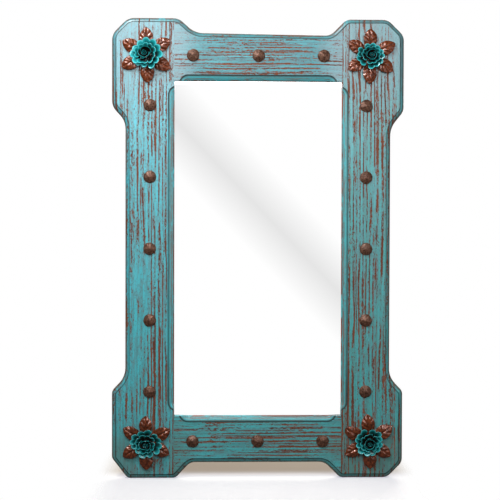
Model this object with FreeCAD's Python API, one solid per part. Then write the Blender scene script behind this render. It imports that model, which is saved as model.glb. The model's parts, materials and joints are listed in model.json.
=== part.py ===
import FreeCAD
import Part
import math
import os
from collections import namedtuple
from FreeCAD import Vector

# Accent wall mirror with a hand-cut wooden frame, forged nails and sheet-metal roses.
# Millimetres. X to the right, Z up, the front faces -Y. The back lies on Y = 0 and the
# origin is the centre of the back panel, where the wall is.

# Frame boards. The sight size is the opening seen from the front. An ear has the full
# board width, the waist between two ears is narrower.
SIGHT_WIDTH = 333.0
SIGHT_HEIGHT = 664.4
BOARD_THICKNESS = 19.0
STILE_EAR_WIDTH = 123.5
STILE_WAIST_WIDTH = 97.0
RAIL_EAR_WIDTH = 124.8
RAIL_WAIST_WIDTH = 93.6

# Routed edges: a step down from the face, then a quarter round outside and a shallow
# round inside.
STEP_DEPTH = 1.6
OUTER_ROUND = 9.5
INNER_ROUND = 20.0
INNER_WIDTH = 12.7
BEARING_RADIUS = 6.4
ROUTER_STOP = 28.0

# Ears, each cut by hand and so slightly different. Crest and foot are the two ends of the
# S-curve on the rail, the crest counted from the butt joint; shoulder and neck are those on
# the stile. Slant is what the rail's waist has over its width at that end. Outward rounds
# are those of the raised face, inside the outer moulding.
Ear = namedtuple("Ear", "right up crest rail_run slant shoulder stile_run cut_across cut_down "
                 "cut_round crest_round foot_round shoulder_round neck_round")
EARS = [
    Ear(-1, 1, -8.4, 32.0, 2.4, 175.0, 29.0, 32.0, 32.0, 19.5, 20.5, 45.0, 20.5, 38.0),
    Ear(1, 1, 8.6, 32.0, -1.0, 182.0, 33.0, 32.0, 32.0, 14.5, 12.5, 25.0, 14.5, 48.0),
    Ear(1, -1, -1.4, 31.0, 0.0, 173.0, 28.0, 30.0, 30.0, 12.5, 6.5, 26.0, 4.5, 42.0),
    Ear(-1, -1, -3.4, 29.0, 0.0, 174.0, 28.0, 31.0, 40.0, 2.5, 5.5, 22.0, 5.5, 46.0),
]

# Mirror and back. The back panel lies flush in a rebate, the glass in a deeper one.
GLASS_THICKNESS = 4.0
GLASS_REBATE = 8.0
PANEL_THICKNESS = 6.0
PANEL_REBATE = 24.0
REBATE_PLAY = 0.5
PANEL_SCREW_LENGTH = 13.0
PANEL_SCREW_RADIUS = 1.6
PANEL_SCREW_HEAD_RADIUS = 3.4
PANEL_SCREW_HEAD_DEPTH = 2.0
SIDE_SCREW_PITCH = 210.0
END_SCREW_PITCH = 200.0
CUTTER_REACH = 5.0

# Dowels of the four butt joints.
DOWEL_RADIUS = 4.0
DOWEL_LENGTH = 60.0
DOWEL_END_PLAY = 1.0
DOWEL_INSET = 36.0
DOWEL_PITCH = 45.0
DOWEL_PLAY = 0.05
DOWEL_CHAMFER = 1.0

# Forged nails, evenly spread between the roses. The inset is measured from the sight edge,
# the end gap from the last nail to the leaves.
NAIL_HEAD_RADIUS = 12.8
NAIL_HEAD_HEIGHT = 7.0
NAIL_RIM = 1.2
NAIL_CROWN = 6.4
NAIL_FLATS = 6
NAIL_FLAT_EASE = 4.0
NAIL_SHANK = 4.4
NAIL_LENGTH = 15.0
NAIL_POINT = 0.7
NAIL_TURN = 37.0
STILE_NAILS = 5
STILE_NAIL_INSET = 48.1
STILE_NAIL_END_GAP = 44.7
RAIL_NAILS = 3
RAIL_NAIL_INSET = 50.5
RAIL_NAIL_END_GAP = 37.6

# Leaf sprays and roses, measured from the sight corner.
ROSE_ACROSS = 55.1
ROSE_ALONG = 51.0
LEAF_COUNT = 6
LEAF_TURN = 30.0
LEAF_SHEET = 0.9
LEAF_HUB_RADIUS = 8.0
LEAF_ROOT = 5.0
LEAF_TIP = 54.5
LEAF_WIDTH = 25.0
LEAF_RISE = 6.0
LEAF_DROOP = 3.2
POST_RADIUS = 4.6
POST_HEIGHT = 6.0
PETAL_SHEET = 0.8
HUB_LIP = 0.12
PIN_RADIUS = 1.6
PIN_PLAY = 0.08
PIN_DEPTH = 14.0
PIN_HEAD_RADIUS = 2.8
PIN_HEAD_HEIGHT = 1.8
PIN_HEAD_CHAMFER = 0.8
PIN_HEAD_PLAY = 0.5
BUD_HEIGHT = 13.0
BUD_SHEET = 0.7
BUD_PITCH = 1.9
BUD_TURNS = 2
BUD_PLAY = 0.1

# A whorl of cupped petals: each petal is a cap of a ball. Reach is the distance of the
# ball from the rose's axis, aim the slope of the cap and spread its half angle. A notch
# in the tip parts a petal into two lobes.
Whorl = namedtuple("Whorl", "petals ball reach aim spread hub spacer notch")
OUTER_WHORL = Whorl(6, 26.0, 8.0, 26.0, 30.0, 9.5, 1.4, 2.6)
MIDDLE_WHORL = Whorl(5, 17.0, 4.0, 40.0, 36.0, 5.6, 2.0, 2.0)
INNER_WHORL = Whorl(3, 13.0, -2.5, 53.0, 42.0, 4.8, 0.0, 0.0)

MIDDLE_TURN = 20.0
INNER_TURN = 50.0

# Each rose was pressed on by hand: the way it leans, how far, and how it is turned.
Rose = namedtuple("Rose", "name right up lean_towards lean turn")
ROSES = [
    Rose("top_left", -1, 1, 130.0, 8.0, 12.0),
    Rose("top_right", 1, 1, 60.0, 2.0, 40.0),
    Rose("bottom_right", 1, -1, 60.0, 5.0, 5.0),
    Rose("bottom_left", -1, -1, 70.0, 6.0, 33.0),
]

# Hangers on the back of the stiles: a folded strap, a wire ring and two screws.
STRAP_WIDTH = 16.0
STRAP_END = 10.0
STRAP_SHEET = 1.0
RING_WIRE_RADIUS = 1.5
RING_PLAY = 0.08
RING_SIDE_PLAY = 1.0
RING_BEND = 3.0
RING_LEG = 6.0
RING_REST_GAP = 0.3
HANGER_SCREW_RADIUS = 1.7
HANGER_SCREW_HEAD_RADIUS = 3.4
HANGER_SCREW_HEAD_HEIGHT = 1.9
HANGER_SCREW_CHAMFER = 1.0
HANGER_SCREW_LENGTH = 14.0
HANGER_SCREW_FIRST = 12.0
HANGER_SCREW_PITCH = 20.0

# Worked out from the above.
HALF_SIGHT_WIDTH = SIGHT_WIDTH / 2
HALF_SIGHT_HEIGHT = SIGHT_HEIGHT / 2
HALF_WIDTH = HALF_SIGHT_WIDTH + STILE_EAR_WIDTH
HALF_WAIST = HALF_SIGHT_WIDTH + STILE_WAIST_WIDTH
HALF_HEIGHT = HALF_SIGHT_HEIGHT + RAIL_EAR_WIDTH
RAIL_WAIST = HALF_SIGHT_HEIGHT + RAIL_WAIST_WIDTH
FRONT = -BOARD_THICKNESS
GLASS_BACK = -PANEL_THICKNESS
GLASS_FRONT = GLASS_BACK - GLASS_THICKNESS
PANEL_SCREW_INSET = (GLASS_REBATE + PANEL_REBATE) / 2
ROSE_X = HALF_SIGHT_WIDTH + ROSE_ACROSS
ROSE_Z = HALF_SIGHT_HEIGHT + ROSE_ALONG
STILE_NAIL_PITCH = 2 * (ROSE_Z - LEAF_TIP - STILE_NAIL_END_GAP) / (STILE_NAILS - 1)
RAIL_NAIL_PITCH = 2 * (ROSE_X - LEAF_TIP - RAIL_NAIL_END_GAP) / (RAIL_NAILS - 1)
HANGER_X = (HALF_SIGHT_WIDTH + HALF_WAIST) / 2
HANGER_HEIGHT = 1.5 * STILE_NAIL_PITCH
STRAP_LENGTH = HANGER_SCREW_FIRST + HANGER_SCREW_PITCH + STRAP_END
RING_BAR = STRAP_WIDTH + 2 * RING_SIDE_PLAY
HUB_THICKNESS = PETAL_SHEET + 2 * HUB_LIP

UP = Vector(0, 0, 1)
BACKWARDS = Vector(0, 1, 0)
FORWARDS = Vector(0, -1, 0)
RIGHT = Vector(1, 0, 0)
ORIGIN = Vector(0, 0, 0)


def block(x0, x1, y0, y1, z0, z1):
    """A box between two corners."""
    return Part.makeBox(x1 - x0, y1 - y0, z1 - z0, Vector(x0, y0, z0))


def moved(shape, offset):
    copy = shape.copy()
    copy.translate(offset)
    return copy


def turned(shape, centre, axis, degrees):
    copy = shape.copy()
    copy.rotate(centre, axis, degrees)
    return copy


def round_polygon(corners):
    """A closed wire on Y = 0 through (x, z, radius) corners, rounded by tangent arcs."""
    arcs = []
    for index, (x, z, radius) in enumerate(corners):
        here = Vector(x, 0, z)
        before = Vector(corners[index - 1][0], 0, corners[index - 1][1])
        after_corner = corners[(index + 1) % len(corners)]
        after = Vector(after_corner[0], 0, after_corner[1])
        to_before = (before - here).normalize()
        to_after = (after - here).normalize()
        half_angle = to_before.getAngle(to_after) / 2
        reach = radius / math.tan(half_angle)
        middle_way = (to_before + to_after).normalize()
        middle = here + middle_way * (radius / math.sin(half_angle) - radius)
        arcs.append((here + to_before * reach, middle, here + to_after * reach))
    edges = []
    for index, (start, middle, end) in enumerate(arcs):
        edges.append(Part.makeLine(arcs[index - 1][2], start))
        edges.append(Part.Arc(start, middle, end).toShape())
    return Part.Wire(edges)


def ear_corners(ear):
    """The outline of one ear, from the waist of the stile to the waist of the rail."""
    crest = HALF_SIGHT_WIDTH + ear.crest
    neck = HALF_HEIGHT - ear.shoulder - ear.stile_run
    cut_round = ear.cut_round + OUTER_ROUND
    places = [
        (HALF_WAIST, neck, ear.neck_round),
        (HALF_WIDTH, HALF_HEIGHT - ear.shoulder, ear.shoulder_round + OUTER_ROUND),
        (HALF_WIDTH, HALF_HEIGHT - ear.cut_down, cut_round),
        (HALF_WIDTH - ear.cut_across, HALF_HEIGHT, cut_round),
        (crest, HALF_HEIGHT, ear.crest_round + OUTER_ROUND),
        (crest - ear.rail_run, RAIL_WAIST + ear.slant, ear.foot_round),
    ]
    if ear.right != ear.up:
        return [(ear.right * x, ear.up * z, radius) for x, z, radius in places]
    return [(ear.right * x, ear.up * z, radius) for x, z, radius in reversed(places)]


def frame_blank():
    """The whole outline with its stepped and rounded outer edge, before it is cut up."""
    corners = []
    for ear in EARS:
        corners += ear_corners(ear)
    outline = round_polygon(corners)
    body = Part.Face(outline).extrude(FORWARDS * (BOARD_THICKNESS - STEP_DEPTH))
    level = FRONT + STEP_DEPTH
    rim = [edge for edge in body.Edges if abs(edge.BoundBox.YMin - level) < 1e-6
           and abs(edge.BoundBox.YMax - level) < 1e-6]
    body = body.makeFillet(OUTER_ROUND, rim)
    inset = Part.Face(outline).makeOffset2D(-OUTER_ROUND)
    field = inset.extrude(FORWARDS * BOARD_THICKNESS)
    return body.fuse(field).removeSplitter()


def router_cut(length):
    """What a bit with a bearing takes off an edge. The edge runs along X through the
    origin, the wood lies above it and the face is the front of the board."""
    turn = math.asin(INNER_WIDTH / INNER_ROUND)
    upper = FRONT + STEP_DEPTH
    lower = upper + INNER_ROUND * (1 - math.cos(turn))
    halfway = upper + INNER_ROUND * (1 - math.cos(turn / 2))
    over = FRONT - CUTTER_REACH
    outer = Vector(0, upper, INNER_WIDTH)
    bend = Vector(0, halfway, INNER_WIDTH - INNER_ROUND * math.sin(turn / 2))
    inner = Vector(0, lower, 0)
    axis_low = Vector(0, lower, -BEARING_RADIUS)
    axis_high = Vector(0, over, -BEARING_RADIUS)
    high = Vector(0, over, INNER_WIDTH)
    profile = Part.Face(Part.Wire([
        Part.makeLine(axis_high, high),
        Part.makeLine(high, outer),
        Part.Arc(outer, bend, inner).toShape(),
        Part.makeLine(inner, axis_low),
        Part.makeLine(axis_low, axis_high),
    ]))
    bit = profile.revolve(axis_low, BACKWARDS, 360)
    half = length / 2
    run = moved(profile, Vector(-half, 0, 0)).extrude(RIGHT * length)
    return [run, moved(bit, Vector(-half, 0, 0)), moved(bit, Vector(half, 0, 0))]


def inner_mouldings():
    """The four stopped router cuts round the sight opening."""
    cuts = []
    rail_run = SIGHT_WIDTH - 2 * ROUTER_STOP
    stile_run = SIGHT_HEIGHT - 2 * ROUTER_STOP
    for degrees, run, reach in ((0, rail_run, HALF_SIGHT_HEIGHT),
                                (90, stile_run, HALF_SIGHT_WIDTH),
                                (180, rail_run, HALF_SIGHT_HEIGHT),
                                (270, stile_run, HALF_SIGHT_WIDTH)):
        for cut in router_cut(run):
            cut.translate(UP * reach)
            cuts.append(turned(cut, ORIGIN, BACKWARDS, degrees))
    return cuts


def rebate(margin, depth):
    """A rectangle round the sight opening, cut from the back."""
    return block(-HALF_SIGHT_WIDTH - margin, HALF_SIGHT_WIDTH + margin, -depth, CUTTER_REACH,
                 -HALF_SIGHT_HEIGHT - margin, HALF_SIGHT_HEIGHT + margin)


def make_boards():
    """The frame, routed and rebated, parted at the butt joints."""
    frame = frame_blank()
    opening = rebate(0, BOARD_THICKNESS + CUTTER_REACH)
    frame = frame.cut([opening, rebate(GLASS_REBATE, -GLASS_FRONT),
                       rebate(PANEL_REBATE, -GLASS_BACK)])
    frame = frame.cut(inner_mouldings())
    far = 2 * HALF_HEIGHT
    inside = HALF_SIGHT_WIDTH
    return {
        "left_stile": frame.common(block(-far, -inside, -far, far, -far, far)),
        "right_stile": frame.common(block(inside, far, -far, far, -far, far)),
        "top_rail": frame.common(block(-inside, inside, -far, far, 0, far)),
        "bottom_rail": frame.common(block(-inside, inside, -far, far, -far, 0)),
    }


def dowel(play, end_play):
    """A dowel along X round the origin, or the bore for it."""
    length = DOWEL_LENGTH + 2 * end_play
    pin = Part.makeCylinder(DOWEL_RADIUS + play, length, Vector(-length / 2, 0, 0), RIGHT)
    if play:
        return pin
    ends = [edge for edge in pin.Edges if edge.Closed]
    return pin.makeChamfer(DOWEL_CHAMFER, ends)


def dowel_places():
    places = []
    for right in (-1, 1):
        for up in (-1, 1):
            for step in (0, DOWEL_PITCH):
                height = up * (HALF_SIGHT_HEIGHT + DOWEL_INSET + step)
                places.append(Vector(right * HALF_SIGHT_WIDTH, FRONT / 2, height))
    return places


def screw_from(points, place):
    """A solid turned about an axis along Y, from (radius, distance) points."""
    wire = Part.makePolygon([Vector(r, y, 0) for r, y in points + points[:1]])
    return moved(Part.Face(wire).revolve(ORIGIN, BACKWARDS, 360), place)


def panel_screw(place):
    """A countersunk screw, flush with the back, driven forwards."""
    taper = 2 * PANEL_SCREW_RADIUS
    points = [
        (0, 0),
        (PANEL_SCREW_HEAD_RADIUS, 0),
        (PANEL_SCREW_RADIUS, -PANEL_SCREW_HEAD_DEPTH),
        (PANEL_SCREW_RADIUS, -PANEL_SCREW_LENGTH + taper),
        (0, -PANEL_SCREW_LENGTH),
    ]
    return screw_from(points, place)


def panel_screw_places():
    places = []
    across = HALF_SIGHT_WIDTH + PANEL_SCREW_INSET
    along = HALF_SIGHT_HEIGHT + PANEL_SCREW_INSET
    for side in (-1, 1):
        for step in (-1, 0, 1):
            places.append(Vector(side * across, 0, step * SIDE_SCREW_PITCH))
        for step in (-0.5, 0.5):
            places.append(Vector(step * END_SCREW_PITCH, 0, side * along))
    return places


def square(side, height):
    """A square wire round the Z axis."""
    half = side / 2
    corners = [(-half, -half), (half, -half), (half, half), (-half, half), (-half, -half)]
    return Part.makePolygon([Vector(x, y, height) for x, y in corners])


def forged_nail(place, turn):
    """A nail with a hammered head on the front face and a square, pointed shank."""
    rise = NAIL_HEAD_HEIGHT - NAIL_RIM
    ball = (NAIL_HEAD_RADIUS ** 2 + rise ** 2) / (2 * rise)
    crown = Part.makeSphere(ball, Vector(0, 0, NAIL_HEAD_HEIGHT - ball))
    head = Part.makeCylinder(NAIL_HEAD_RADIUS, NAIL_HEAD_HEIGHT + CUTTER_REACH).common(crown)
    slope = math.degrees(math.atan2(NAIL_CROWN - NAIL_RIM, NAIL_HEAD_RADIUS))
    reach = 2 * NAIL_HEAD_RADIUS
    flats = []
    for index in range(NAIL_FLATS):
        tilt = slope - NAIL_FLAT_EASE * (index % 3) / 2
        flat = block(-reach, reach, -reach, reach, NAIL_CROWN, NAIL_CROWN + reach)
        flat.rotate(UP * NAIL_CROWN, BACKWARDS, tilt)
        flats.append(turned(flat, ORIGIN, UP, 360.0 / NAIL_FLATS * index))
    head = head.cut(flats)
    shoulder = 2 * NAIL_SHANK - NAIL_LENGTH
    shank = Part.Face(square(NAIL_SHANK, 0)).extrude(UP * shoulder)
    point = Part.makeLoft([square(NAIL_SHANK, shoulder), square(NAIL_POINT, -NAIL_LENGTH)],
                          True, True)
    nail = head.fuse([shank, point]).removeSplitter()
    nail.rotate(ORIGIN, UP, turn)
    return on_face(nail, place)


def on_face(shape, place):
    """Turns a shape built upwards on Z = 0 so that it stands out of the front face."""
    shape.rotate(ORIGIN, RIGHT, 90)
    shape.translate(place)
    return shape


def spread(count, pitch):
    """Places along a line, evenly spread about its middle."""
    return [(index - (count - 1) / 2) * pitch for index in range(count)]


def nail_groups():
    across = HALF_SIGHT_WIDTH + STILE_NAIL_INSET
    along = HALF_SIGHT_HEIGHT + RAIL_NAIL_INSET
    groups = {}
    for name, right in (("left", -1), ("right", 1)):
        groups[name + "_stile"] = [Vector(right * across, FRONT, height)
                                   for height in spread(STILE_NAILS, STILE_NAIL_PITCH)]
    for name, up in (("top", 1), ("bottom", -1)):
        groups[name + "_rail"] = [Vector(place, FRONT, up * along)
                                  for place in spread(RAIL_NAILS, RAIL_NAIL_PITCH)]
    return groups


def leaf():
    """One embossed leaf along X, a roof-shaped loft from the hub to the tip. Each station
    gives shares of the leaf's length, width, rise and droop."""
    stations = [
        (0.00, 0.20, 0.02, 0.00),
        (0.20, 0.28, 0.15, 0.10),
        (0.34, 0.56, 0.43, 0.38),
        (0.50, 0.92, 0.83, 0.81),
        (0.67, 1.00, 1.00, 1.00),
        (0.83, 0.76, 0.93, 0.81),
        (0.95, 0.32, 0.73, 0.38),
        (1.00, 0.06, 0.63, 0.10),
    ]
    sections = []
    for length_share, width_share, rise_share, droop_share in stations:
        along = LEAF_ROOT + length_share * (LEAF_TIP - LEAF_ROOT)
        half = width_share * LEAF_WIDTH / 2
        height = rise_share * LEAF_RISE
        side = height - droop_share * LEAF_DROOP
        points = [(-half, side), (0, height), (half, side), (half, side + LEAF_SHEET),
                  (0, height + LEAF_SHEET), (-half, side + LEAF_SHEET)]
        points = [Vector(along, y, z) for y, z in points + points[:1]]
        sections.append(Part.makePolygon(points))
    return Part.makeLoft(sections, True)


def leaned(shape, rose):
    """Leans a shape of the rose on the top of the post."""
    towards = math.radians(rose.lean_towards)
    axis = Vector(-math.sin(towards), math.cos(towards), 0)
    return turned(shape, UP * POST_HEIGHT, axis, rose.lean)


def rose_pin(rose, play):
    """The nail through rose, post and wood, or the hole for it."""
    top = POST_HEIGHT + stack_height()
    shaft = PIN_RADIUS + play
    points = [
        (0, -PIN_DEPTH),
        (shaft, -PIN_DEPTH + 2 * PIN_RADIUS),
        (shaft, top),
        (PIN_HEAD_RADIUS, top),
        (PIN_HEAD_RADIUS, top + PIN_HEAD_HEIGHT - PIN_HEAD_CHAMFER),
        (PIN_HEAD_RADIUS - PIN_HEAD_CHAMFER, top + PIN_HEAD_HEIGHT),
        (0, top + PIN_HEAD_HEIGHT),
    ]
    wire = Part.makePolygon([Vector(r, 0, z) for r, z in points + points[:1]])
    return leaned(Part.Face(wire).revolve(ORIGIN, UP, 360), rose)


def stack_height():
    """From the top of the post to the hub of the inner whorl."""
    return sum(HUB_THICKNESS + whorl.spacer
               for whorl in (OUTER_WHORL, MIDDLE_WHORL, INNER_WHORL))


def leaf_spray(rose):
    """Six leaves, their hub and the post that carries the rose."""
    hub = Part.makeCylinder(LEAF_HUB_RADIUS, LEAF_SHEET)
    post = Part.makeCylinder(POST_RADIUS, 3 * POST_HEIGHT, UP * (-2 * POST_HEIGHT))
    above = block(-LEAF_TIP, LEAF_TIP, -LEAF_TIP, LEAF_TIP, 0, LEAF_TIP)
    post = leaned(post, rose).common(above)
    leaves = [turned(leaf(), ORIGIN, UP, LEAF_TURN + 360.0 / LEAF_COUNT * index)
              for index in range(LEAF_COUNT)]
    spray = hub.fuse([post] + leaves)
    return spray.cut(rose_pin(rose, PIN_PLAY))


def ball_centre(whorl, level):
    """The centre of the ball that a petal along X is pressed round."""
    return Vector(whorl.reach, 0, level + HUB_LIP + PETAL_SHEET + whorl.ball)


def cupped_petal(whorl, level):
    """A petal along X: the part of a hollow ball that lies in a cone from its centre."""
    outer = whorl.ball + PETAL_SHEET
    centre = ball_centre(whorl, level)
    aim = math.radians(whorl.aim)
    spread = math.radians(whorl.spread)
    ball = Part.makeSphere(outer, centre, BACKWARDS)
    hollow = Part.makeSphere(whorl.ball, centre, BACKWARDS)
    cone = Part.makeCone(0, 2 * outer * math.tan(spread), 2 * outer, centre,
                         Vector(math.sin(aim), 0, -math.cos(aim)))
    petal = ball.cut(hollow).common(cone)
    if not whorl.notch:
        return petal
    tip = whorl.reach + whorl.ball * math.sin(aim + spread)
    return petal.cut(Part.makeCylinder(whorl.notch, 2 * outer, Vector(tip, 0, level)))


def whorl_of_petals(whorl, level, turn, rose):
    """A ring of cupped petals on a hub with a spacer above it."""
    petal = cupped_petal(whorl, level)
    petals = [turned(petal, ORIGIN, UP, turn + 360.0 / whorl.petals * index)
              for index in range(whorl.petals)]
    hub = Part.makeCylinder(whorl.hub, HUB_THICKNESS, UP * level)
    if whorl.spacer:
        spacer = Part.makeCylinder(POST_RADIUS, HUB_THICKNESS + whorl.spacer, UP * level)
        hub = hub.fuse(spacer)
    ring = hub.fuse(petals)
    ring = leaned(ring, rose)
    return ring.cut(rose_pin(rose, PIN_PLAY))


def petal_balls(whorl, level, turn):
    """The balls that the petals of a whorl are pressed round, less a play."""
    ball = Part.makeSphere(whorl.ball - BUD_PLAY, ball_centre(whorl, level))
    return [turned(ball, ORIGIN, UP, turn + 360.0 / whorl.petals * index)
            for index in range(whorl.petals)]


def rolled_bud(level, turn, rose):
    """A strip rolled round the head of the pin, as half circles of growing radius, with
    its lower edge trimmed to the cup of the inner petals."""
    start = PIN_HEAD_RADIUS + PIN_HEAD_PLAY + BUD_SHEET / 2
    outer = []
    inner = []
    for half_turn in range(2 * BUD_TURNS):
        side = 1 if half_turn % 2 == 0 else -1
        centre = Vector(-side * BUD_PITCH / 4, 0, 0)
        radius = start + half_turn * BUD_PITCH / 2 + BUD_PITCH / 4
        for edges, offset in ((outer, BUD_SHEET / 2), (inner, -BUD_SHEET / 2)):
            reach = radius + offset
            edges.append(Part.Arc(centre + Vector(side * reach, 0, 0),
                                  centre + Vector(0, side * reach, 0),
                                  centre + Vector(-side * reach, 0, 0)).toShape())
    first = Part.makeLine(outer[0].Vertexes[0].Point, inner[0].Vertexes[0].Point)
    last = Part.makeLine(outer[-1].Vertexes[-1].Point, inner[-1].Vertexes[-1].Point)
    strip = Part.Face(Part.Wire(Part.__sortEdges__(outer + inner + [first, last])))
    strip.translate(UP * (level + HUB_THICKNESS))
    bud = strip.extrude(UP * BUD_HEIGHT)
    for ball in petal_balls(INNER_WHORL, level, turn):
        bud = bud.common(ball)
    return leaned(bud, rose)


def make_rose(rose):
    """The pieces of one corner ornament, standing on Z = 0."""
    outer_level = POST_HEIGHT
    middle_level = outer_level + HUB_THICKNESS + OUTER_WHORL.spacer
    inner_level = middle_level + HUB_THICKNESS + MIDDLE_WHORL.spacer
    inner_turn = rose.turn + INNER_TURN
    return {
        "leaves": leaf_spray(rose),
        "outer_petals": whorl_of_petals(OUTER_WHORL, outer_level, rose.turn, rose),
        "middle_petals": whorl_of_petals(MIDDLE_WHORL, middle_level,
                                         rose.turn + MIDDLE_TURN, rose),
        "inner_petals": whorl_of_petals(INNER_WHORL, inner_level, inner_turn, rose),
        "bud": rolled_bud(inner_level, inner_turn, rose),
        "pin": rose_pin(rose, 0),
    }


def hanger_strap():
    """A strip folded round the ring's bar, the bar along X through the origin."""
    bore = RING_WIRE_RADIUS + RING_PLAY
    reach = bore + STRAP_SHEET
    half = STRAP_WIDTH / 2
    loop = Part.makeCylinder(reach, STRAP_WIDTH, Vector(-half, 0, 0), RIGHT)
    leg = block(-half, half, -reach, -reach + 2 * STRAP_SHEET, half - STRAP_LENGTH, 0)
    end = Part.makeCylinder(half, 2 * STRAP_SHEET, Vector(0, -reach, half - STRAP_LENGTH),
                            BACKWARDS)
    strap = loop.fuse([leg, end])
    return strap.cut(Part.makeCylinder(bore, STRAP_WIDTH, Vector(-half, 0, 0), RIGHT))


def hanger_ring():
    """A wire ring, its bar along X through the origin and its bow above."""
    half = RING_BAR / 2
    leg = half + RING_BEND
    high = RING_BEND + RING_LEG
    bar = Part.makeCylinder(RING_WIRE_RADIUS, RING_BAR, Vector(-half, 0, 0), RIGHT)
    pieces = []
    for side in (-1, 1):
        section = Part.Face(Part.Wire(Part.makeCircle(RING_WIRE_RADIUS,
                                                      Vector(side * half, 0, 0), RIGHT)))
        bend_axis = Vector(side * half, 0, RING_BEND)
        pieces.append(section.revolve(bend_axis, BACKWARDS, -90 * side))
        pieces.append(Part.makeCylinder(RING_WIRE_RADIUS, RING_LEG,
                                        Vector(side * leg, 0, RING_BEND), UP))
    section = Part.Face(Part.Wire(Part.makeCircle(RING_WIRE_RADIUS, Vector(-leg, 0, high), UP)))
    pieces.append(section.revolve(Vector(0, 0, high), BACKWARDS, 180))
    return bar.fuse(pieces).removeSplitter()


def hanger_screw(place):
    """A pan-head screw on the strap, driven forwards into the stile."""
    seat = 2 * STRAP_SHEET
    crown = seat + HANGER_SCREW_HEAD_HEIGHT
    length = HANGER_SCREW_LENGTH
    points = [
        (0, seat - length),
        (HANGER_SCREW_RADIUS, seat - length + 2 * HANGER_SCREW_RADIUS),
        (HANGER_SCREW_RADIUS, seat),
        (HANGER_SCREW_HEAD_RADIUS, seat),
        (HANGER_SCREW_HEAD_RADIUS, crown - HANGER_SCREW_CHAMFER),
        (HANGER_SCREW_HEAD_RADIUS - HANGER_SCREW_CHAMFER, crown),
        (0, crown),
    ]
    return screw_from(points, place)


def make_hanger(right):
    """Strap, ring and screws of the hanger on one stile."""
    reach = RING_WIRE_RADIUS + RING_PLAY + STRAP_SHEET
    across = right * HANGER_X
    pivot = Vector(across, reach, HANGER_HEIGHT)
    ring_height = RING_BEND + RING_LEG + RING_BAR / 2 + RING_BEND
    lean = math.degrees(math.asin((reach - RING_WIRE_RADIUS - RING_REST_GAP) / ring_height))
    ring = turned(hanger_ring(), ORIGIN, RIGHT, lean)
    screws = [hanger_screw(Vector(across, 0, HANGER_HEIGHT - HANGER_SCREW_FIRST - step))
              for step in (0, HANGER_SCREW_PITCH)]
    strap = moved(hanger_strap(), pivot).cut(screws)
    return strap, moved(ring, pivot), screws


boards = make_boards()
nodes = {}

glass_margin = GLASS_REBATE - REBATE_PLAY
nodes["mirror_glass"] = block(-HALF_SIGHT_WIDTH - glass_margin, HALF_SIGHT_WIDTH + glass_margin,
                              GLASS_FRONT, GLASS_BACK, -HALF_SIGHT_HEIGHT - glass_margin,
                              HALF_SIGHT_HEIGHT + glass_margin)
panel_margin = PANEL_REBATE - REBATE_PLAY
panel = block(-HALF_SIGHT_WIDTH - panel_margin, HALF_SIGHT_WIDTH + panel_margin,
              GLASS_BACK, 0, -HALF_SIGHT_HEIGHT - panel_margin,
              HALF_SIGHT_HEIGHT + panel_margin)
panel_screws = [panel_screw(place) for place in panel_screw_places()]
nodes["back_panel"] = panel.cut(panel_screws)
nodes["panel_screws"] = Part.makeCompound(panel_screws)

dowels = [moved(dowel(0, 0), place) for place in dowel_places()]
bores = [moved(dowel(DOWEL_PLAY, DOWEL_END_PLAY), place) for place in dowel_places()]
nodes["joint_dowels"] = Part.makeCompound(dowels)
holes = panel_screws + bores

for board, places in nail_groups().items():
    nails = [forged_nail(place, NAIL_TURN * index) for index, place in enumerate(places)]
    nodes[board + "_nails"] = Part.makeCompound(nails)
    holes = holes + nails

for rose in ROSES:
    place = Vector(rose.right * ROSE_X, FRONT, rose.up * ROSE_Z)
    for piece, shape in make_rose(rose).items():
        nodes[rose.name + "_rose_" + piece] = on_face(shape, place)
    holes.append(nodes[rose.name + "_rose_pin"])

for name, right in (("left", -1), ("right", 1)):
    strap, ring, screws = make_hanger(right)
    nodes[name + "_hanger_strap"] = strap
    nodes[name + "_hanger_ring"] = ring
    nodes[name + "_hanger_screws"] = Part.makeCompound(screws)
    holes = holes + screws

for name, board in boards.items():
    box = board.BoundBox
    near = [hole for hole in holes if box.intersect(hole.BoundBox)]
    nodes[name] = board.cut(near)

os.makedirs("parts", exist_ok=True)
for name, shape in nodes.items():
    shape.exportStep("parts/" + name + ".step")
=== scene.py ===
import bpy
import json
import math
import random
from collections import namedtuple
from mathutils import Matrix, Vector


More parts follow.
